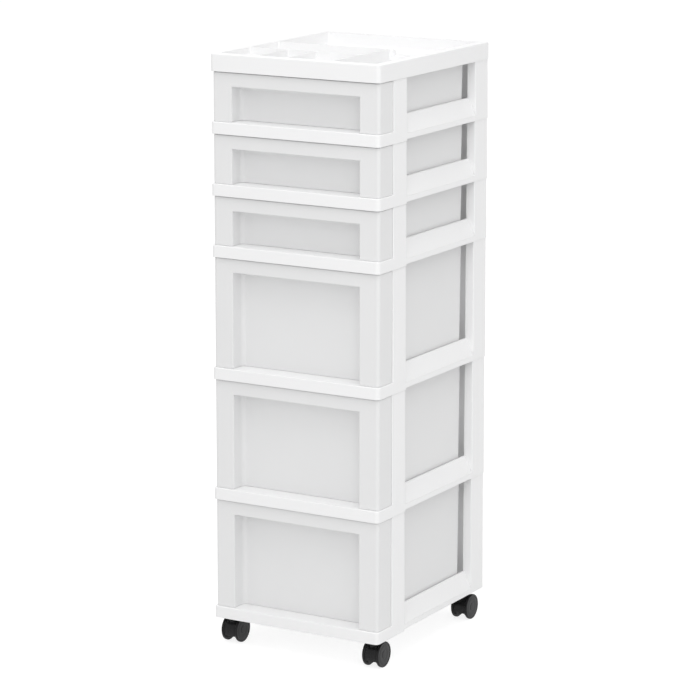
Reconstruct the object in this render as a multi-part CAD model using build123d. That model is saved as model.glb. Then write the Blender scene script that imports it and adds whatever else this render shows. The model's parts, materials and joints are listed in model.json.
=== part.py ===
from build123d import *
import os
from math import atan, degrees

# Plastic drawer tower on twin-wheel casters. Millimetres. X runs across the tower, -Y is the front,
# Z is up, and the origin is on the floor under the middle of the tower.

# Tower
tower_width = 309.0
tower_depth = 364.3
floor_gap = 46.7             # floor to the lip of the lowest frame
deep_pitch = 200.75          # height of a deep tier
shallow_pitch = 99.75        # height of a shallow tier
levels = ("lower", "middle", "upper")

# Tier frame
frame_wall = 2.2
frame_step = 1.3             # how far a frame draws in on each side, from its foot to its top
front_corner_radius = 7.0
back_corner_radius = 3.5
lip_height = 19.5            # underside of the lip to the shelf that the drawer slides on
lip_edge_radius = 1.8
side_lift = 3.0              # the side skirt stops this much above the underside of the lip
band_height = 12.0           # top of the upright side band, above the underside of the lip
sill_height = 39.8           # top of the sloping sill, above the underside of the lip
sill_slope_inset = 13.0      # how far the sill leans in
sill_crest = 3.6             # thickness of the sill's crest
sill_crest_radius = 1.2
post_thickness = 16.0        # across the wall, from the outer face in
front_post_setback = 47.4    # from the front face
front_post_length = 41.6
back_post_length = 44.8
back_post_return = 46.0      # width of the back post along the back face
post_edge_radius = 1.5
spigot_height = 9.0
spigot_thickness = 6.0
spigot_end_margin = 5.0      # from the end of a post to the end of its spigot
spigot_gap = 0.25
spigot_chamfer = 1.0
rib_thickness = 2.0
rib_depth = 9.0
cross_rib_count = 3
long_rib_offset = 50.0       # from the centre line

# Drawer
drawer_wall = 2.0
seat_gap = 0.3               # under the drawer, over the shelf
head_setback = 4.5           # drawer front behind the lip
head_side_inset = 2.2        # drawer head inside the frame's width
head_post_gap = 0.8          # behind the drawer head, before the front post
drawer_top_gap = 0.9         # over the drawer, under the next lip
head_corner_radius = 5.5
head_edge_radius = 1.5
body_side_gap = 2.6          # drawer body to post
body_back_gap = 50.3         # drawer body to the back of the tower
body_draft = 1.4             # how far the drawer body draws in on each side towards its bottom
body_corner_radius = 8.0
rim_width = 1.2
rim_height = 2.2
stile_width = 35.4
rail_height = 22.5
recess_depth = 29.5
recess_radius = 8.0
recess_edge_radius = 1.4

# Organiser on top
organiser_height = 28.4
organiser_edge_radius = 2.0
rim_flat = 13.0              # from the outer face to the compartments
compartment_depth = 22.0
compartment_radius = 3.0
divider = 3.0
front_row_depth = 88.0       # front row of compartments, front to back
middle_row_depth = 85.0
left_cell_width = 68.0
centre_cell_width = 50.0
third_cell_width = 81.0
low_wall_drop = 8.8          # the wall behind the right compartment is this much lower than the rim
low_wall_start = 75.5        # from the centre line to where that wall drops

# Casters
wheel_radius = 21.25
caster_width = 30.4
disc_thickness = 4.6
disc_edge_radius = 1.5
disc_shoulder_radius = 1.35
disc_dish_radius = 15.0
disc_dish_depth = 0.7
disc_boss_radius = 6.0
hood_gap = 0.35              # between hood and wheel disc
hood_radius = 20.4
hood_wall = 1.9
hood_edge_radius = 0.8
hood_web = 2.6
hood_front_drop = 9.2        # the hood's front edge, below the axle
hood_back_rise = 4.0         # the hood's back edge, above the axle
axle_radius = 2.5
axle_end_cover = 2.0         # plastic over each end of the axle
axle_end_gap = 0.2
axle_chamfer = 0.4
hub_radius = 6.5
hub_half_length = 6.3
hub_gap = 0.4
wheel_rim_outer = 17.4
wheel_rim_wall = 1.8
running_gap = 0.05           # radial, on the axle and on the stem
caster_trail = 8.5           # axle behind the swivel
caster_side_inset = 21.0     # swivels from the side face
caster_front_setback = 25.0  # front swivels from the front face
caster_back_setback = 36.3   # back swivels from the back face
stem_radius = 4.0
stem_socket_wall = 5.0
stem_socket_lift = 2.0       # socket mouth above the underside of the lip
stem_foot = 22.0             # bottom end of the stem above the floor
stem_top_gap = 1.0
stem_chamfer = 0.6
collar_radius = 7.4
collar_height = 2.4
swivel_boss_radius = 6.2
swivel_gap = 0.3

# Modelling
overshoot = 1.0              # how far a cutting shape runs past what it cuts
tolerance = 0.01

# Values that follow from the ones above
half_width = tower_width / 2
half_depth = tower_depth / 2
front_post_start = -half_depth + front_post_setback
front_post_end = front_post_start + front_post_length
back_post_start = half_depth - back_post_length
post_inner = half_width - post_thickness
frames_top = floor_gap + len(levels) * (deep_pitch + shallow_pitch)
disc_outer = caster_width / 2
disc_inner = disc_outer - disc_thickness
hood_half = disc_inner - hood_gap


def block(x, y, z):
    """A block from a (low, high) pair along each axis."""
    size = [high - low for low, high in (x, y, z)]
    middle = [(high + low) / 2 for low, high in (x, y, z)]
    return Pos(*middle) * Box(*size)


def layer(low, high):
    """Everything between two heights, past the tower's outline on every side."""
    across = half_width + overshoot
    along = half_depth + overshoot
    return block((-across, across), (-along, along), (low, high))


def both_sides(piece):
    """A right-hand feature and its mirror image on the left."""
    return piece + mirror(piece, Plane.YZ)


def cylinder_up(radius, x, y, low, high):
    """An upright cylinder between two heights."""
    return Pos(x, y, (low + high) / 2) * Cylinder(radius, high - low)


def tower_plan(inset):
    """The tower's outline seen from above, drawn in by an inset."""
    plan = Rectangle(tower_width - 2 * inset, tower_depth - 2 * inset)
    plan = fillet(plan.vertices().group_by(Axis.Y)[0], front_corner_radius - inset)
    return fillet(plan.vertices().group_by(Axis.Y)[-1], back_corner_radius - inset)


def frame_limits(foot, pitch, inset):
    """The tapered space that a frame's outer faces lie on."""
    height = pitch + side_lift
    return extrude(Pos(0, 0, foot) * tower_plan(inset), height, taper=degrees(atan(frame_step / height)))


def sill_zones(low, high):
    """The spaces between the posts, outside the shelf, that belong to the sills."""
    drawn_in = frame_step + sill_slope_inset + sill_crest - frame_wall
    side = block((half_width - drawn_in, half_width), (front_post_end, back_post_start), (low, high))
    reach = half_width - back_post_return
    back = block((-reach, reach), (half_depth - drawn_in, half_depth), (low, high))
    return both_sides(side) + back


def platform(limits, foot):
    """The solid block behind the lip, with its top edge rounded, cut back behind the sills."""
    top = foot + lip_height
    slab = limits & layer(foot - overshoot, top)
    rim = slab.faces().sort_by(Axis.Z)[-1].outer_wire().edges()
    return fillet(rim, lip_edge_radius) - sill_zones(foot - overshoot, top + overshoot)


def front_post(foot, top, inset):
    """The right front post, or its inner space when an inset is given."""
    return block(
        (post_inner + inset, half_width),
        (front_post_start + inset, front_post_end - inset),
        (foot, top - inset),
    )


def back_post(foot, top, inset):
    """The right back post, an angle along the side and the back, or its inner space."""
    side_leg = block(
        (post_inner + inset, half_width),
        (back_post_start + inset, half_depth),
        (foot, top - inset),
    )
    back_leg = block(
        (half_width - back_post_return + inset, half_width),
        (half_depth - post_thickness + inset, half_depth),
        (foot, top - inset),
    )
    return side_leg + back_leg


def rounded_post(post, limits, edge_count):
    """A post trimmed to the frame's outer faces, its upright outer edges rounded from the front on."""
    trimmed = post & limits
    upright = trimmed.edges().filter_by(lambda edge: edge.length > lip_height)
    outer = upright.filter_by(lambda edge: abs(edge.center().X) > half_width - 2 * frame_step)
    return fillet(outer.sort_by(Axis.Y)[:edge_count], post_edge_radius)


def sill_outline(foot, outer, inner, run):
    """Cross-section of a sill: an upright band, a slope that leans in, a crest and an upright back."""
    crest_outer = outer - sill_slope_inset
    points = [
        (outer + run, foot - run),
        (outer + run, foot + band_height),
        (outer, foot + band_height),
        (crest_outer, foot + sill_height),
        (inner, foot + sill_height),
        (inner, foot - run),
    ]
    return Polyline([Vector(across, 0, up) for across, up in points], close=True)


def sill_bar(outline, low, high, inset):
    """A sill along Y between two stations, or its inner space when an inset is given."""
    section = make_face(outline)
    if inset:
        section = offset(section, -inset, kind=Kind.INTERSECTION)
    else:
        crest = section.vertices().sort_by(Axis.Z)[-2:]
        section = fillet(crest, sill_crest_radius)
    return Pos(0, low, 0) * extrude(section, high - low, dir=(0, 1, 0))


def side_sill(foot, inset):
    """The right side sill, from post to post."""
    run = 2 * frame_wall
    inner = half_width - frame_step - sill_slope_inset - sill_crest
    outline = sill_outline(foot, half_width - frame_step / 2, inner, run)
    return sill_bar(outline, front_post_end - inset, back_post_start + inset, inset)


def back_sill(foot, inset):
    """The sill along the back, made as a side sill and turned a quarter turn."""
    run = 2 * frame_wall
    inner = half_depth - frame_step - sill_slope_inset - sill_crest
    outline = sill_outline(foot, half_depth - frame_step / 2, inner, run)
    reach = half_width - back_post_return + inset
    return Rot(0, 0, 90) * sill_bar(outline, -reach, reach, inset)


def spigot(start, end, top):
    """The plug on top of a right-hand post, which fits the hollow of the piece above."""
    outer = half_width - frame_wall - frame_step - spigot_gap
    plug = block((outer - spigot_thickness, outer), (start, end), (top, top + spigot_height))
    return chamfer(plug.faces().sort_by(Axis.Z)[-1].edges(), spigot_chamfer)


def spigots(front_top, back_top):
    """Plugs on all four posts."""
    front = spigot(front_post_start + spigot_end_margin, front_post_end - spigot_end_margin, front_top)
    back_end = half_depth - back_corner_radius - spigot_end_margin
    back = spigot(back_post_start + spigot_end_margin, back_end, back_top)
    return both_sides(front + back)


def ribs(foot, hollow):
    """Stiffening ribs under the shelf plate."""
    under_plate = foot + lip_height - frame_wall
    depth = (under_plate - rib_depth, under_plate)
    half_rib = rib_thickness / 2
    long_rib = block(
        (long_rib_offset - half_rib, long_rib_offset + half_rib), (-half_depth, half_depth), depth
    )
    web = both_sides(long_rib)
    spacing = (back_post_start - front_post_end) / (cross_rib_count + 1)
    for index in range(cross_rib_count):
        station = front_post_end + spacing * (index + 1)
        web += block((-half_width, half_width), (station - half_rib, station + half_rib), depth)
    return web & hollow


def caster_stations():
    """Name, X and Y of each swivel."""
    side = half_width - caster_side_inset
    front = -half_depth + caster_front_setback
    back = half_depth - caster_back_setback
    return [
        ("front_left", -side, front),
        ("front_right", side, front),
        ("back_left", -side, back),
        ("back_right", side, back),
    ]


def tier_frame(foot, pitch, is_lowest, is_highest):
    """One moulded frame: lip, shelf plate, sills, four hollow posts and their plugs."""
    front_top = foot + pitch
    back_top = front_top if is_highest else front_top + side_lift
    outside = frame_limits(foot, pitch, 0)
    inside = frame_limits(foot, pitch, frame_wall)

    frame = platform(outside, foot)
    frame += both_sides(rounded_post(front_post(foot, front_top, 0), outside, 2))
    frame += both_sides(rounded_post(back_post(foot, back_top, 0), outside, 1))
    frame += (both_sides(side_sill(foot, 0)) + back_sill(foot, 0)) & outside

    below = foot - overshoot
    under_plate = foot + lip_height - frame_wall
    under_shelf = (inside & layer(below, under_plate)) - sill_zones(below, under_plate + overshoot)
    hollow = under_shelf
    hollow += both_sides(front_post(below, front_top, frame_wall)) & inside
    hollow += both_sides(back_post(below, back_top, frame_wall)) & inside
    hollow += (both_sides(side_sill(foot, frame_wall)) + back_sill(foot, frame_wall)) & inside
    frame -= hollow
    frame += ribs(foot, under_shelf)
    frame += spigots(front_top, back_top)
    frame -= block((-half_width, half_width), (front_post_end, half_depth), (below, foot + side_lift))

    if is_lowest:
        mouth = foot + stem_socket_lift
        for name, x, y in caster_stations():
            frame += cylinder_up(stem_radius + stem_socket_wall, x, y, mouth, under_plate + frame_wall / 2)
            frame -= cylinder_up(stem_radius + running_gap, x, y, mouth - overshoot, under_plate - stem_top_gap)
    return frame


def rounded_box(x, y, z, front_radius, back_radius):
    """A block whose upright corners are rounded at the front and at the back."""
    plan = Pos((x[0] + x[1]) / 2, (y[0] + y[1]) / 2, z[0]) * Rectangle(x[1] - x[0], y[1] - y[0])
    if front_radius:
        plan = fillet(plan.vertices().group_by(Axis.Y)[0], front_radius)
    if back_radius:
        plan = fillet(plan.vertices().group_by(Axis.Y)[-1], back_radius)
    return extrude(plan, z[1] - z[0])


def drawer_body(inset, low, high, front):
    """The drawer body between the posts, wider at the top than at the bottom."""
    half = post_inner - body_side_gap - body_draft - inset
    back = half_depth - body_back_gap - body_draft - inset
    plan = Pos(0, (front + back) / 2, low) * Rectangle(2 * half, back - front)
    plan = fillet(plan.vertices().group_by(Axis.Y)[-1], body_corner_radius - inset)
    height = high - low
    return extrude(plan, height, taper=-degrees(atan(body_draft / height)))


def finger_recess(inset, low, high, front):
    """The recess in the drawer front, open below and to the front, rounded where it is deepest."""
    half = half_width - head_side_inset - stile_width + inset
    floor = -half_depth + head_setback + recess_depth + inset
    ceiling = high - rail_height + inset
    cut = block((-half, half), (front, floor), (low, ceiling))
    inner_edges = cut.faces().sort_by(Axis.Y)[-1].edges().sort_by(Axis.Z)[1:]
    return fillet(inner_edges, recess_radius + inset)


def drawer(foot, pitch):
    """A drawer: wide head with a finger recess, and a body that runs between the posts."""
    low = foot + lip_height + seat_gap
    high = foot + pitch - drawer_top_gap
    front = -half_depth + head_setback
    head_back = front_post_start - head_post_gap
    half = half_width - head_side_inset
    wall = drawer_wall

    head = rounded_box((-half, half), (front, head_back), (low, high), head_corner_radius, 0)
    top_front = head.faces().sort_by(Axis.Z)[-1].edges().filter_by(
        lambda edge: edge.center().Y < head_back - wall
    )
    head = fillet(top_front, head_edge_radius)
    body = drawer_body(0, low, high, head_back - 2 * wall)
    rim = drawer_body(-rim_width, high - rim_height, high, head_back - 2 * wall)
    shell = head + body + rim

    reach = high + overshoot
    head_space = rounded_box(
        (wall - half, half - wall),
        (front + wall, head_back - wall),
        (low + wall, reach),
        head_corner_radius - wall,
        0,
    )
    body_space = drawer_body(wall, low + wall, reach, head_back - 2 * wall)
    space = head_space + body_space - finger_recess(wall, low - wall, high, front - wall)
    shell -= finger_recess(0, low - overshoot, high, front - overshoot)
    shell -= space
    lip_edges = shell.edges().filter_by(
        lambda edge: abs(edge.center().Y - front) < tolerance
        and abs(edge.center().X) < half - stile_width + tolerance
        and low + wall < edge.center().Z < high - rail_height + tolerance
    )
    return fillet(lip_edges, recess_edge_radius)


def compartments():
    """(low, high) pairs along X and Y of each compartment in the organiser."""
    left = -half_width + rim_flat
    right = half_width - rim_flat
    front = -half_depth + rim_flat
    back = half_depth - rim_flat
    front_row = (front, front + front_row_depth)
    middle_row = (front_row[1] + divider, front_row[1] + divider + middle_row_depth)
    trough = (middle_row[1] + divider, back)
    first = (left, left + left_cell_width)
    second = (first[1] + divider, first[1] + divider + centre_cell_width)
    third = (second[1] + divider, second[1] + divider + third_cell_width)
    side = (third[1] + divider, right)
    return [
        (first, front_row),
        (second, front_row),
        (third, front_row),
        ((left, third[1]), middle_row),
        (side, (front, middle_row[1])),
        ((left, right), trough),
    ]


def compartment_space(x, y, grow, top):
    """The space of one compartment, or that space with its walls and floor added."""
    floor = top - compartment_depth - grow
    space = block(
        (x[0] - grow, x[1] + grow), (y[0] - grow, y[1] + grow), (floor, top + compartment_radius)
    )
    edges = space.edges().filter_by(Axis.Z) + space.faces().sort_by(Axis.Z)[0].edges()
    return fillet(edges, compartment_radius + grow)


def organiser_socket_ribs(low, high):
    """Walls in the rim of the organiser at both ends of each right-hand plug."""
    back_end = half_depth - back_corner_radius - spigot_end_margin
    ends = [
        (front_post_start + spigot_end_margin, -1),
        (front_post_end - spigot_end_margin, 1),
        (back_post_start + spigot_end_margin, -1),
        (back_end, 1),
    ]
    walls = []
    for end, way in ends:
        near = end + way * spigot_gap
        far = near + way * rib_thickness
        walls.append(
            block((half_width - rim_flat, half_width - frame_wall), sorted((near, far)), (low, high))
        )
    return walls


def organiser():
    """The top tray: rim, compartments with dividers, and a hollow rim that takes the plugs."""
    low = frames_top
    high = low + organiser_height
    tray = extrude(Pos(0, 0, low) * tower_plan(0), organiser_height)
    tray = fillet(tray.faces().sort_by(Axis.Z)[-1].outer_wire().edges(), organiser_edge_radius)
    depth = organiser_height + overshoot - frame_wall
    under = extrude(Pos(0, 0, low - overshoot) * tower_plan(frame_wall), depth)
    for x, y in compartments():
        under -= compartment_space(x, y, frame_wall, high)
    tray -= under
    for x, y in compartments():
        tray -= compartment_space(x, y, 0, high)
    for wall in organiser_socket_ribs(low + overshoot, high - frame_wall / 2):
        tray += both_sides(wall)
    wall_front = compartments()[4][1][1]
    tray -= block(
        (low_wall_start, half_width - rim_flat - compartment_radius),
        (wall_front - compartment_radius, wall_front + divider + compartment_radius),
        (high - low_wall_drop, high + overshoot),
    )
    return tray


def caster_axle_point(x, y):
    """The middle of a caster's axle."""
    return Pos(x, y + caster_trail, wheel_radius)


def caster_stem(x, y):
    """Steel stem: pressed into its socket above the collar, the hood swivels on it below."""
    socket_mouth = floor_gap + stem_socket_lift
    top = floor_gap + lip_height - frame_wall - 2 * stem_top_gap
    stem = cylinder_up(stem_radius, x, y, stem_foot, top)
    stem = chamfer(stem.faces().sort_by(Axis.Z)[-1].edges(), stem_chamfer)
    return stem + cylinder_up(collar_radius, x, y, socket_mouth - collar_height, socket_mouth)


def hood_blank():
    """A drum about the axle, hollow on both sides of its middle web, cut away below."""
    across = Rot(0, 90, 0)
    drum = across * Cylinder(hood_radius, 2 * hood_half)
    drum = fillet(drum.edges().filter_by(GeomType.CIRCLE), hood_edge_radius)
    side_length = hood_half + overshoot - hood_web / 2
    for way in (-1, 1):
        centre = way * (hood_web / 2 + side_length / 2)
        drum -= Pos(centre, 0, 0) * across * Cylinder(hood_radius - hood_wall, side_length)
    reach = hood_radius + overshoot
    outline = Polyline(
        [
            Vector(0, -reach, -hood_front_drop),
            Vector(0, -hood_radius + hood_wall, -hood_front_drop),
            Vector(0, hood_radius - hood_wall, hood_back_rise),
            Vector(0, reach, hood_back_rise),
            Vector(0, reach, -reach),
            Vector(0, -reach, -reach),
        ],
        close=True,
    )
    return drum - Pos(-reach, 0, 0) * extrude(make_face(outline), 2 * reach, dir=(1, 0, 0))


def caster_hood(x, y):
    """The black hood: shell, web, axle hub and the boss that turns on the stem."""
    across = Rot(0, 90, 0)
    axle_bore = across * Cylinder(axle_radius + running_gap / 2, 4 * hub_half_length)
    hub = across * Cylinder(hub_radius, 2 * hub_half_length)
    hood = caster_axle_point(x, y) * (hood_blank() + hub)
    boss_top = floor_gap + stem_socket_lift - collar_height - swivel_gap
    envelope = caster_axle_point(x, y) * across * Cylinder(hood_radius - hood_wall / 2, 4 * hood_half)
    boss = cylinder_up(swivel_boss_radius, x, y, stem_foot - hood_wall, boss_top)
    above = cylinder_up(swivel_boss_radius, x, y, wheel_radius + hood_radius / 2, boss_top)
    hood += (boss & envelope) + above
    hood -= cylinder_up(stem_radius + running_gap, x, y, stem_foot - swivel_gap, boss_top + overshoot)
    return hood - caster_axle_point(x, y) * axle_bore


def caster_axle(x, y):
    """Steel pin through the hub, on which both wheels turn."""
    length = 2 * (disc_outer - axle_end_cover - axle_end_gap)
    pin = Rot(0, 90, 0) * Cylinder(axle_radius, length)
    return caster_axle_point(x, y) * chamfer(pin.edges().filter_by(GeomType.CIRCLE), axle_chamfer)


def wheel_right():
    """Right-hand wheel about the axle at the origin: dished disc, inner rim and hub."""
    flat_radius = wheel_radius - disc_edge_radius
    dish = disc_outer - disc_dish_depth
    outline = [
        (disc_inner, 0),
        (disc_inner, flat_radius),
        (disc_inner + disc_edge_radius, wheel_radius),
        (disc_outer - disc_edge_radius, wheel_radius),
        (disc_outer, flat_radius),
        (disc_outer, disc_dish_radius + disc_dish_depth),
        (dish, disc_dish_radius),
        (dish, disc_boss_radius + disc_dish_depth),
        (disc_outer, disc_boss_radius),
        (disc_outer, 0),
    ]
    face = make_face(Polyline([Vector(across, 0, out) for across, out in outline], close=True))
    shoulders = [corner for corner in face.vertices() if corner.Z > wheel_radius - tolerance]
    wheel = revolve(fillet(shoulders, disc_shoulder_radius), Axis.X)

    hub_start = hub_half_length + hub_gap
    reach = disc_inner - hub_start
    hub = Cylinder(hub_radius, reach)
    rim = Cylinder(wheel_rim_outer, reach) - Cylinder(wheel_rim_outer - wheel_rim_wall, reach)
    wheel += Pos(hub_start + reach / 2, 0, 0) * Rot(0, 90, 0) * (hub + rim)
    bore_length = disc_outer - axle_end_cover - hub_start
    bore = Cylinder(axle_radius + running_gap, bore_length + overshoot)
    return wheel - Pos(hub_start + (bore_length - overshoot) / 2, 0, 0) * Rot(0, 90, 0) * bore


def save(piece, node):
    """Write one node's STEP file."""
    export_step(piece, os.path.join("parts", node + ".step"))


def tiers():
    """Name, foot height and pitch of each tier, from the lowest up."""
    foot = floor_gap
    for kind, pitch in (("deep", deep_pitch), ("shallow", shallow_pitch)):
        for level in levels:
            yield kind, level, foot, pitch
            foot += pitch


os.makedirs("parts", exist_ok=True)

for kind, level, foot, pitch in tiers():
    is_lowest = foot == floor_gap
    is_highest = foot + pitch > frames_top - tolerance
    save(tier_frame(foot, pitch, is_lowest, is_highest), f"{kind}_frame_{level}")
    save(drawer(foot, pitch), f"{kind}_drawer_{level}")

save(organiser(), "top_organiser")

right_wheel = wheel_right()
left_wheel = mirror(right_wheel, Plane.YZ)
for name, x, y in caster_stations():
    save(caster_stem(x, y), f"caster_{name}_stem")
    save(caster_hood(x, y), f"caster_{name}_hood")
    save(caster_axle(x, y), f"caster_{name}_axle")
    save(caster_axle_point(x, y) * left_wheel, f"caster_{name}_wheel_left")
    save(caster_axle_point(x, y) * right_wheel, f"caster_{name}_wheel_right")
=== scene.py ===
import json
import math

import bpy
from mathutils import Matrix, Vector


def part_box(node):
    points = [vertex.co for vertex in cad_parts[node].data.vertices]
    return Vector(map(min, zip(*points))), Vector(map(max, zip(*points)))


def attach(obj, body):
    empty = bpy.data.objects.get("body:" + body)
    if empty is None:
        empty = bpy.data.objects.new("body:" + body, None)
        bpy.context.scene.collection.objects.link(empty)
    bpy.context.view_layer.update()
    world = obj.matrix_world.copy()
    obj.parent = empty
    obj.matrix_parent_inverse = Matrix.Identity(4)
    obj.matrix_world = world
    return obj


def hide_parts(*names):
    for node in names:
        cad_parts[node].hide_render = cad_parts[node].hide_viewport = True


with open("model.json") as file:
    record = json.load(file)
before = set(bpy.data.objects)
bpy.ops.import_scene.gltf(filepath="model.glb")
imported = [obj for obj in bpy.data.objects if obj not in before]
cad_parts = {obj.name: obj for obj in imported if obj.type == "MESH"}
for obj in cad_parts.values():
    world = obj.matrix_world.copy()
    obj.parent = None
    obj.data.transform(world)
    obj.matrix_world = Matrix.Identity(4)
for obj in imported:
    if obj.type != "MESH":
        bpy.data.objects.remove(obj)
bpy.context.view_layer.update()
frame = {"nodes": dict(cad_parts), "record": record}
bpy.ops.object.select_all(action="DESELECT")

MM = 0.001

# Camera, solved from the edges of the six tiers in the photograph
CAMERA_PLACE = (2.4734, -4.2946, 1.5644)
CAMERA_YAW = math.radians(29.96)
CAMERA_PITCH = math.radians(12.36)
CAMERA_ROLL = math.radians(0.08)
CAMERA_LENS = 158.95
SENSOR_WIDTH = 36.0
CLIP_END = 200.0

# Studio: the surround and the floor show white, and light the object at a plain level
AMBIENT = 0.60
FLOOR_SIZE = 80.0
FLOOR_ALBEDO = 0.90
FLOOR_ALBEDO_SEEN = 0.35
FLOOR_GLOW_SEEN = 0.83

# Soft boxes: name, place, the point it faces, width and height, power in watts
SOFT_BOXES = (
    ("top_softbox", (0.4, -0.9, 3.6), (0, 0, 0.7), (3.0, 3.0), 50),
    ("front_softbox", (1.6, -3.2, 2.2), (0, 0, 0.4), (2.6, 2.4), 27),
    ("side_softbox", (3.4, -0.2, 1.0), (0, 0, 0.3), (2.4, 2.0), 8),
)

# Plastics
MOULDED_IOR = 1.49
NYLON_IOR = 1.45
NYLON_SPECULAR = 0.3
MOULDED_EDGE = 0.8 * MM
HOOD_EDGE = 0.5 * MM
WHEEL_EDGE = 0.4 * MM
SKIN_DEPTH = 0.03 * MM
TURNED_DEPTH = 0.01 * MM
EDGE_TURN = 0.12


# ---------------------------------------------------------------- shader maths

class Field:
    """A shader socket that takes part in arithmetic. Each operation adds a Math node."""

    def __init__(self, tree, socket):
        self.tree = tree
        self.socket = socket

    def math(self, operation, *others, first=None):
        operands = [self, *others] if first is None else [first, self, *others]
        return self.tree.node("ShaderNodeMath", {"operation": operation}, dict(enumerate(operands)))

    def __add__(self, other):
        return self.math("ADD", other)

    def __mul__(self, other):
        return self.math("MULTIPLY", other)

    def __sub__(self, other):
        return self.math("SUBTRACT", other)

    def __radd__(self, other):
        return self.math("ADD", first=other)

    def __rmul__(self, other):
        return self.math("MULTIPLY", first=other)

    def __rsub__(self, other):
        return self.math("SUBTRACT", first=other)

    def between(self, low, high):
        """0 at low and 1 at high, held within that."""
        settings = {"interpolation_type": "SMOOTHSTEP"}
        inputs = {"Value": self, "From Min": low, "From Max": high}
        return self.tree.node("ShaderNodeMapRange", settings, inputs)


class Finish:
    """A material whose nodes are added one call at a time."""

    def __init__(self, name, **constants):
        self.material = bpy.data.materials.new(name)
        self.material.use_nodes = True
        self.nodes = self.material.node_tree.nodes
        self.links = self.material.node_tree.links
        self.shader = self.nodes["Principled BSDF"]
        for key, value in constants.items():
            self.shader.inputs[key.replace("_", " ")].default_value = value
        self.place = self.node("ShaderNodeTexCoord", output="Object")

    def node(self, kind, settings=None, inputs=None, output=0):
        """Add a node with its settings and its sockets' values or links."""
        made = self.nodes.new(kind)
        for key, value in (settings or {}).items():
            setattr(made, key, value)
        for key, value in (inputs or {}).items():
            if isinstance(value, Field):
                self.links.new(value.socket, made.inputs[key])
            else:
                made.inputs[key].default_value = value
        return Field(self, made.outputs[output])

    def noise(self, size, detail=2.0, roughness=0.5, stretch=(1, 1, 1)):
        """Noise whose features are about that size, in metres, averaging 0.5."""
        place = self.place
        if stretch != (1, 1, 1):
            place = self.node("ShaderNodeMapping", None, {"Vector": place, "Scale": stretch})
        inputs = {"Vector": place, "Scale": 1.0 / size, "Detail": detail, "Roughness": roughness}
        return self.node("ShaderNodeTexNoise", None, inputs)

    def blend(self, factor, first, second):
        """A colour between two, by a 0 to 1 factor."""
        made = self.nodes.new("ShaderNodeMix")
        made.data_type = "RGBA"
        self.links.new(factor.socket, made.inputs["Factor"])
        colour_inputs = [socket for socket in made.inputs if socket.type == "RGBA"]
        for target, value in zip(colour_inputs, (first, second)):
            if isinstance(value, Field):
                self.links.new(value.socket, target)
            else:
                target.default_value = (*value, 1.0)
        return Field(self, next(socket for socket in made.outputs if socket.type == "RGBA"))

    def edges(self, radius):
        """1 on edges within that radius, 0 on the faces between, and the rounded normal."""
        rounded = self.node("ShaderNodeBevel", {"samples": 4}, {"Radius": radius})
        flat = self.node("ShaderNodeNewGeometry", output="Normal")
        dot = self.nodes.new("ShaderNodeVectorMath")
        dot.operation = "DOT_PRODUCT"
        self.links.new(rounded.socket, dot.inputs[0])
        self.links.new(flat.socket, dot.inputs[1])
        likeness = Field(self, dot.outputs["Value"])
        return (1.0 - likeness).between(0.0, EDGE_TURN), rounded

    def facing_sideways(self):
        """How far the surface faces along the piece's own X, either way: 1 straight along it, 0 across it."""
        normal = self.node("ShaderNodeTexCoord", output="Normal")
        return self.node("ShaderNodeSeparateXYZ", None, {"Vector": normal}).math("ABSOLUTE")

    def bump(self, height, depth, normal=None):
        """Feed a height to the surface normal, with its depth in metres."""
        inputs = {"Height": height, "Distance": depth, "Strength": 1.0}
        if normal is not None:
            inputs["Normal"] = normal
        self.feed("Normal", self.node("ShaderNodeBump", None, inputs))

    def feed(self, socket, value):
        self.links.new(value.socket, self.shader.inputs[socket])


# ---------------------------------------------------------------- finishes

def white_plastic():
    """Satin white moulded plastic of the frames and the tray."""
    finish = Finish("white_moulded_plastic", IOR=MOULDED_IOR)
    edge, rounded = finish.edges(MOULDED_EDGE)
    cloud = finish.noise(0.16, 3.0)
    flow = finish.noise(0.035, 2.0, stretch=(1, 1, 0.25))
    skin = finish.noise(0.7 * MM, 2.0, 0.6)
    scuff = finish.noise(2.2 * MM, 4.0, 0.65, stretch=(1, 1, 3)).between(0.62, 0.8)
    colour = finish.blend(cloud, (0.888, 0.888, 0.892), (0.91, 0.91, 0.912))
    colour = finish.blend(edge * 0.5, colour, (0.935, 0.935, 0.935))
    finish.feed("Base Color", colour)
    finish.feed("Roughness", 0.36 + flow * 0.08 + skin * 0.06 + scuff * 0.08 - edge * 0.08)
    finish.bump(skin * 0.5 + flow, SKIN_DEPTH, rounded)
    return finish.material


def frosted_plastic():
    """Frosted plastic of the drawers: greyer than the frames, with a fine etched skin."""
    finish = Finish("frosted_drawer_plastic", IOR=MOULDED_IOR)
    edge, rounded = finish.edges(MOULDED_EDGE)
    cloud = finish.noise(0.12, 3.0)
    etch = finish.noise(0.45 * MM, 3.0, 0.7)
    flow = finish.noise(0.03, 2.0, stretch=(1, 1, 0.3))
    colour = finish.blend(cloud, (0.790, 0.791, 0.794), (0.818, 0.819, 0.820))
    colour = finish.blend(edge * 0.4, colour, (0.86, 0.86, 0.86))
    finish.feed("Base Color", colour)
    finish.feed("Roughness", 0.42 + etch * 0.12 + flow * 0.06)
    finish.bump(etch * 0.6 + flow * 0.6, SKIN_DEPTH, rounded)
    return finish.material


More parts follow.
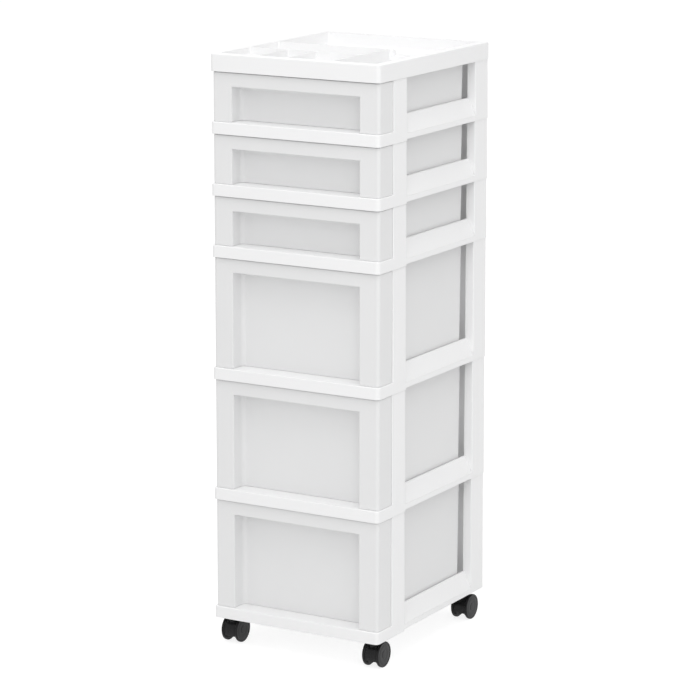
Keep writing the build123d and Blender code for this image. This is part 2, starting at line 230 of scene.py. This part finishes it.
def caster_plastic():
    """Black moulded nylon of the hoods."""
    finish = Finish("black_caster_plastic", IOR=NYLON_IOR, Specular_IOR_Level=NYLON_SPECULAR)
    edge, rounded = finish.edges(HOOD_EDGE)
    skin = finish.noise(0.5 * MM, 3.0, 0.6)
    dust = finish.noise(6 * MM, 4.0, 0.6).between(0.5, 0.8)
    colour = finish.blend(dust * 0.5, (0.004, 0.004, 0.0045), (0.009, 0.009, 0.009))
    colour = finish.blend(edge * 0.4, colour, (0.02, 0.02, 0.02))
    finish.feed("Base Color", colour)
    finish.feed("Roughness", 0.26 + dust * 0.12 + skin * 0.08)
    finish.bump(skin, SKIN_DEPTH, rounded)
    return finish.material


def wheel_plastic():
    """Black nylon of the wheels: glossy black tread, and matt disc faces whose colour is painted lighter than
    the tread as painted light, with dust over them.
    """
    finish = Finish("black_wheel_plastic", IOR=NYLON_IOR, Specular_IOR_Level=NYLON_SPECULAR)
    edge, rounded = finish.edges(WHEEL_EDGE)
    # Mask of the disc faces: it makes them matt, and it also lifts their colour as painted light
    face = finish.facing_sideways().between(0.8, 0.97)
    skin = finish.noise(0.5 * MM, 3.0, 0.6)
    dust = finish.noise(5 * MM, 4.0, 0.6).between(0.45, 0.8)
    # Painted light: the disc faces' colour is lifted well above the tread's black, with dust noise over it
    disc = finish.blend(dust * 0.6, (0.030, 0.030, 0.031), (0.044, 0.044, 0.044))
    colour = finish.blend(face, (0.004, 0.004, 0.0045), disc)
    colour = finish.blend(edge * 0.3, colour, (0.06, 0.06, 0.06))
    finish.feed("Base Color", colour)
    finish.feed("Roughness", 0.30 + face * 0.14 + dust * 0.1 + skin * 0.08)
    finish.bump(skin, SKIN_DEPTH, rounded)
    return finish.material


def plated_steel():
    """Zinc-plated steel of the stems and axles, with fine turned lines."""
    finish = Finish("plated_steel", Metallic=1.0)
    lines = finish.noise(0.25 * MM, 2.0, 0.6, stretch=(0.15, 0.15, 1))
    blotch = finish.noise(4 * MM, 3.0)
    colour = finish.blend(blotch, (0.55, 0.55, 0.56), (0.66, 0.66, 0.65))
    finish.feed("Base Color", colour)
    finish.feed("Roughness", 0.28 + lines * 0.14 + blotch * 0.06)
    finish.bump(lines, TURNED_DEPTH)
    return finish.material


# ---------------------------------------------------------------- looks of the CAD nodes

finishes = {
    "frame_plastic": white_plastic(),
    "drawer_plastic": frosted_plastic(),
    "caster_plastic": caster_plastic(),
    "wheel_plastic": wheel_plastic(),
    "steel": plated_steel(),
}


def dress(piece, slot):
    """Give a piece its finish in every material slot."""
    piece.data.materials.clear()
    piece.data.materials.append(finishes[slot])
    piece.data.polygons.foreach_set("material_index", [0] * len(piece.data.polygons))


for part in frame["record"]["subparts"]:
    dress(frame["nodes"][part["node"]], part["material_slot"])


# ---------------------------------------------------------------- casters

# Sizes of the caster pieces, the same as those of the CAD nodes
WHEEL_RADIUS = 21.25 * MM
DISC_OUTER = 15.2 * MM
DISC_INNER = 10.6 * MM
HOOD_HALF = 10.25 * MM
HOOD_RADIUS = 20.4 * MM
HOOD_WALL = 1.9 * MM
HOOD_WEB = 2.6 * MM
HOOD_FRONT_DROP = 9.2 * MM
HOOD_BACK_RISE = 4.0 * MM
HUB_RADIUS = 6.5 * MM
HUB_HALF = 6.3 * MM
HUB_GAP = 0.4 * MM
INNER_RIM_RADIUS = 17.4 * MM
INNER_RIM_WALL = 1.8 * MM
AXLE_RADIUS = 2.5 * MM
AXLE_END_COVER = 2.0 * MM
RUNNING_GAP = 0.05 * MM
CASTER_TRAIL = 8.5 * MM
BOSS_RADIUS = 6.2 * MM
BOSS_LOW = -1.15 * MM
BOSS_TOP = 24.75 * MM
STEM_RADIUS = 4.0 * MM
STEM_FOOT = 0.75 * MM
SWIVEL_GAP = 0.3 * MM
TREAD_OUTER_ROUNDING = 1.3 * MM
TREAD_INNER_ROUNDING = 0.9 * MM
HOOD_ROUNDING = 0.8 * MM
BOSS_ROUNDING = 0.6 * MM
HUB_ROUNDING = 0.4 * MM
SEAM_RISE = 0.1 * MM
SEAM_HALF = 0.14 * MM
ROUND_SIDES = 96
HOOD_SIDES = 128
HUB_SIDES = 64
BORE_SIDES = 48
RIB_COUNT = 8
RIB_SHARE = 0.8
NEAR = 0.02 * MM
NEAR_ROUND = 6 * NEAR
ALONG = 0.9
SMOOTH_ANGLE = math.radians(35)

# Steps of the wheel's disc face from the rim inwards: width of the step, then how far it goes out
DISC_STEPS = (
    (3.1, 0.0),
    (0.35, -0.35),
    (0.9, 0.0),
    (0.3, 0.15),
    (5.4, -0.15),
    (4.4, -0.2),
    (0.4, 0.4),
    (1.6, 0.1),
    (2.4, 0.03),
)


def pick(piece, test, kind="FACE"):
    """Select the faces or edges that pass a test of their middle and their normal or direction."""
    if piece.mode == "EDIT":
        bpy.ops.object.mode_set(mode="OBJECT")
    mesh = piece.data
    for elements in (mesh.vertices, mesh.edges, mesh.polygons):
        elements.foreach_set("select", [False] * len(elements))
    if kind == "FACE":
        for face in mesh.polygons:
            face.select = bool(test(face.center, face.normal))
    else:
        for edge in mesh.edges:
            ends = [mesh.vertices[index].co for index in edge.vertices]
            edge.select = bool(test((ends[0] + ends[1]) / 2, (ends[1] - ends[0]).normalized()))
    bpy.ops.object.mode_set(mode="EDIT")
    bpy.ops.mesh.select_mode(type=kind)


def from_axle(point):
    """Distance from the axle line, which runs along X."""
    return math.hypot(point.y, point.z)


def add_round(name, radius, low, high, sides=ROUND_SIDES):
    """A closed cylinder along X between two stations."""
    bpy.ops.mesh.primitive_cylinder_add(
        vertices=sides,
        radius=radius,
        depth=high - low,
        location=((low + high) / 2, 0, 0),
        rotation=(0, math.pi / 2, 0),
    )
    piece = bpy.context.object
    piece.name = name
    bpy.ops.object.transform_apply(location=True, rotation=True, scale=True)
    return piece


def add_upright(name, radius, low, high, sides):
    """A closed upright cylinder about the swivel line, which is in front of the axle."""
    bpy.ops.mesh.primitive_cylinder_add(
        vertices=sides, radius=radius, depth=high - low, location=(0, -CASTER_TRAIL, (low + high) / 2)
    )
    piece = bpy.context.object
    piece.name = name
    bpy.ops.object.transform_apply(location=True, rotation=True, scale=True)
    return piece


def step(inward, across=0.0):
    """Inset the selected cap by a width, then move it along X."""
    bpy.ops.mesh.inset(thickness=inward, depth=0)
    bpy.ops.transform.translate(value=(across, 0, 0))


def sink(across):
    """Extrude the selected cap along X."""
    bpy.ops.mesh.extrude_region_move(TRANSFORM_OT_translate={"value": (across, 0, 0)})


def bevel_picked(piece, on_edge, width, segments):
    """Round the edges that pass a test."""
    pick(piece, on_edge, "EDGE")
    bpy.ops.mesh.bevel(offset=width, segments=segments, affect="EDGES", profile=0.5)
    bpy.ops.object.mode_set(mode="OBJECT")


def round_ring(piece, station, radius, width, segments):
    """Round the ring of edges at one station along X and one distance from the axle."""
    def on_ring(middle, direction):
        near = abs(middle.x - station) < NEAR and abs(from_axle(middle) - radius) < NEAR_ROUND
        return near and abs(direction.x) < 0.5

    bevel_picked(piece, on_ring, width, segments)


def round_top(piece, height, radius, width):
    """Round the upper rim of an upright cylinder about the swivel line."""
    def on_rim(middle, direction):
        reach = math.hypot(middle.x, middle.y + CASTER_TRAIL)
        return abs(middle.z - height) < NEAR and abs(reach - radius) < NEAR_ROUND

    bevel_picked(piece, on_rim, width, 3)


def finish_mesh(piece):
    """Weld, face outwards and shade smooth up to an angle."""
    bpy.ops.object.mode_set(mode="EDIT")
    bpy.ops.mesh.select_all(action="SELECT")
    bpy.ops.mesh.remove_doubles(threshold=NEAR / 10)
    bpy.ops.mesh.normals_make_consistent(inside=False)
    bpy.ops.object.mode_set(mode="OBJECT")
    bpy.ops.object.shade_smooth_by_angle(angle=SMOOTH_ANGLE)
    piece.select_set(False)


def combine(base, tool, operation):
    """Join or cut with a boolean, and drop the tool."""
    modifier = base.modifiers.new("combine", "BOOLEAN")
    modifier.operation = operation
    modifier.solver = "EXACT"
    modifier.object = tool
    bpy.context.view_layer.objects.active = base
    bpy.ops.object.modifier_apply(modifier=modifier.name)
    bpy.data.objects.remove(tool)


def model_wheel():
    """Right-hand wheel about the axle: stepped disc face, tread, inner rim, hub and ribs."""
    wheel = add_round("wheel_model", WHEEL_RADIUS, DISC_INNER, DISC_OUTER)
    pick(wheel, lambda middle, normal: normal.x > ALONG)
    for inward, across in DISC_STEPS:
        step(inward * MM, across * MM)

    hub_start = HUB_HALF + HUB_GAP
    reach = DISC_INNER - hub_start
    inner_rim = INNER_RIM_RADIUS - INNER_RIM_WALL
    pick(wheel, lambda middle, normal: normal.x < -ALONG)
    step(WHEEL_RADIUS - INNER_RIM_RADIUS)
    sink(-reach)
    step(INNER_RIM_WALL)
    sink(reach)
    step(inner_rim - HUB_RADIUS)
    sink(-reach)
    step(HUB_RADIUS - AXLE_RADIUS - RUNNING_GAP)
    sink(DISC_OUTER - AXLE_END_COVER - hub_start)

    def rib_face(middle, normal):
        turn = math.atan2(middle.z, middle.y) % math.tau / math.tau
        on_web = abs(middle.x - DISC_INNER) < NEAR and HUB_RADIUS < from_axle(middle) < inner_rim
        on_rib = int(turn * ROUND_SIDES) % (ROUND_SIDES // RIB_COUNT) == 0
        return normal.x < -ALONG and on_web and on_rib

    pick(wheel, rib_face)
    sink(-RIB_SHARE * reach)
    round_ring(wheel, DISC_OUTER, WHEEL_RADIUS, TREAD_OUTER_ROUNDING, 5)
    round_ring(wheel, DISC_INNER, WHEEL_RADIUS, TREAD_INNER_ROUNDING, 4)
    finish_mesh(wheel)
    return wheel


def cut_lower(piece):
    """Cut a round piece off below the slanting line from the hood's front edge to its back edge."""
    slope = (HOOD_BACK_RISE + HOOD_FRONT_DROP) / (2 * (HOOD_RADIUS - HOOD_WALL))
    middle = (HOOD_BACK_RISE - HOOD_FRONT_DROP) / 2
    bpy.ops.object.mode_set(mode="EDIT")
    bpy.ops.mesh.select_all(action="SELECT")
    bpy.ops.mesh.bisect(plane_co=(0, 0, middle), plane_no=(0, -slope, 1), use_fill=True, clear_inner=True)
    bpy.ops.object.mode_set(mode="OBJECT")


def model_hood():
    """Hood about the axle: a shell on a middle web, with the axle hub and the boss that turns on the stem."""
    hood = add_round("hood_model", HOOD_RADIUS, -HOOD_HALF, HOOD_HALF, HOOD_SIDES)
    for end in (-HOOD_HALF, HOOD_HALF):
        round_ring(hood, end, HOOD_RADIUS, HOOD_ROUNDING, 4)
    seam = add_round("hood_seam", HOOD_RADIUS + SEAM_RISE, -SEAM_HALF, SEAM_HALF, HOOD_SIDES)
    combine(hood, seam, "UNION")
    for side in (-1, 1):
        ends = sorted((side * HOOD_WEB / 2, side * (HOOD_HALF + HOOD_WALL)))
        hollow = add_round("hood_hollow", HOOD_RADIUS - HOOD_WALL, *ends, HOOD_SIDES)
        combine(hood, hollow, "DIFFERENCE")
    cut_lower(hood)
    boss = add_upright("hood_boss", BOSS_RADIUS, BOSS_LOW, BOSS_TOP, HUB_SIDES)
    round_top(boss, BOSS_TOP, BOSS_RADIUS, BOSS_ROUNDING)
    combine(hood, boss, "UNION")
    hub = add_round("hood_hub", HUB_RADIUS, -HUB_HALF, HUB_HALF, HUB_SIDES)
    for end in (-HUB_HALF, HUB_HALF):
        round_ring(hub, end, HUB_RADIUS, HUB_ROUNDING, 2)
    combine(hood, hub, "UNION")
    bore = add_round("hood_bore", AXLE_RADIUS + RUNNING_GAP / 2, -2 * HUB_HALF, 2 * HUB_HALF, BORE_SIDES)
    combine(hood, bore, "DIFFERENCE")
    well_foot = STEM_FOOT - SWIVEL_GAP
    well_top = BOSS_TOP + HOOD_WALL
    well = add_upright("stem_well", STEM_RADIUS + RUNNING_GAP, well_foot, well_top, BORE_SIDES)
    combine(hood, well, "DIFFERENCE")
    finish_mesh(hood)
    return hood


def set_piece(model, place, node, slot, body):
    """Set a copy of a model in its place, for its CAD node."""
    piece = bpy.data.objects.new(f"{node}_moulded", model.data.copy())
    bpy.context.scene.collection.objects.link(piece)
    piece.data.transform(place)
    dress(piece, slot)
    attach(piece, body)
    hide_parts(node)


wheel_model = model_wheel()
hood_model = model_hood()
for corner in ("front_left", "front_right", "back_left", "back_right"):
    caster = f"caster_{corner}"
    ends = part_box(f"{caster}_axle")
    axle = Matrix.Translation((ends[0] + ends[1]) / 2)
    set_piece(hood_model, axle, f"{caster}_hood", "caster_plastic", f"{caster}_swivel")
    for side, turn in (("left", math.pi), ("right", 0.0)):
        wheel = f"{caster}_wheel_{side}"
        set_piece(wheel_model, axle @ Matrix.Rotation(turn, 4, "Z"), wheel, "wheel_plastic", wheel)
for model in (wheel_model, hood_model):
    bpy.data.objects.remove(model)


# ---------------------------------------------------------------- camera, light and floor

def make_camera():
    """The camera at the photograph's viewpoint."""
    forward = Vector(
        (
            -math.sin(CAMERA_YAW) * math.cos(CAMERA_PITCH),
            math.cos(CAMERA_YAW) * math.cos(CAMERA_PITCH),
            -math.sin(CAMERA_PITCH),
        )
    )
    level = Vector((math.cos(CAMERA_YAW), math.sin(CAMERA_YAW), 0.0))
    up = level.cross(forward)
    right = level * math.cos(CAMERA_ROLL) + up * math.sin(CAMERA_ROLL)
    up = up * math.cos(CAMERA_ROLL) - level * math.sin(CAMERA_ROLL)
    turn = Matrix((right, up, -forward)).transposed().to_4x4()
    data = bpy.data.cameras.new("photo_camera")
    data.lens = CAMERA_LENS
    data.sensor_width = SENSOR_WIDTH
    data.clip_end = CLIP_END
    camera = bpy.data.objects.new("photo_camera", data)
    camera.matrix_world = Matrix.Translation(CAMERA_PLACE) @ turn
    bpy.context.scene.collection.objects.link(camera)
    bpy.context.scene.camera = camera


def area_light(name, place, target, size, power):
    """A soft box that faces a target."""
    data = bpy.data.lights.new(name, "AREA")
    data.shape = "RECTANGLE"
    data.size, data.size_y = size
    data.energy = power
    light = bpy.data.objects.new(name, data)
    light.location = place
    light.rotation_euler = (Vector(target) - Vector(place)).to_track_quat("-Z", "Y").to_euler()
    bpy.context.scene.collection.objects.link(light)


def seen_directly(tree):
    """1 for rays that show the surroundings: straight to the camera, in a reflection or through glass."""
    path = tree.nodes.new("ShaderNodeLightPath")
    seen = path.outputs["Is Camera Ray"]
    for name in ("Is Glossy Ray", "Is Transmission Ray"):
        join = tree.nodes.new("ShaderNodeMath")
        join.operation = "MAXIMUM"
        tree.links.new(seen, join.inputs[0])
        tree.links.new(path.outputs[name], join.inputs[1])
        seen = join.outputs[0]
    return seen


def make_world():
    """A white surround: full white where it is seen, dimmer as a light."""
    world = bpy.data.worlds.new("white_studio")
    world.use_nodes = True
    tree = world.node_tree
    background = tree.nodes["Background"]
    background.inputs["Color"].default_value = (1, 1, 1, 1)
    strength = tree.nodes.new("ShaderNodeMapRange")
    strength.inputs["To Min"].default_value = AMBIENT
    strength.inputs["To Max"].default_value = 1.0
    tree.links.new(seen_directly(tree), strength.inputs["Value"])
    tree.links.new(strength.outputs["Result"], background.inputs["Strength"])
    bpy.context.scene.world = world


def make_floor():
    """A pale floor that shows white with a light shadow of the object."""
    bpy.ops.mesh.primitive_plane_add(size=FLOOR_SIZE, location=(0, 0, 0))
    floor = bpy.context.object
    floor.name = "studio_floor"
    material = bpy.data.materials.new("studio_floor")
    material.use_nodes = True
    tree = material.node_tree
    tree.nodes.remove(tree.nodes["Principled BSDF"])
    seen = seen_directly(tree)
    shade = tree.nodes.new("ShaderNodeMapRange")
    shade.inputs["To Min"].default_value = FLOOR_ALBEDO
    shade.inputs["To Max"].default_value = FLOOR_ALBEDO_SEEN
    glow = tree.nodes.new("ShaderNodeMapRange")
    glow.inputs["To Min"].default_value = 0.0
    glow.inputs["To Max"].default_value = FLOOR_GLOW_SEEN
    diffuse = tree.nodes.new("ShaderNodeBsdfDiffuse")
    emission = tree.nodes.new("ShaderNodeEmission")
    total = tree.nodes.new("ShaderNodeAddShader")
    tree.links.new(seen, shade.inputs["Value"])
    tree.links.new(seen, glow.inputs["Value"])
    tree.links.new(shade.outputs["Result"], diffuse.inputs["Color"])
    tree.links.new(glow.outputs["Result"], emission.inputs["Strength"])
    tree.links.new(diffuse.outputs[0], total.inputs[0])
    tree.links.new(emission.outputs[0], total.inputs[1])
    tree.links.new(total.outputs[0], tree.nodes["Material Output"].inputs["Surface"])
    floor.data.materials.append(material)


make_camera()
make_world()
make_floor()
for soft_box in SOFT_BOXES:
    area_light(*soft_box)
bpy.context.scene.view_settings.view_transform = "Standard"
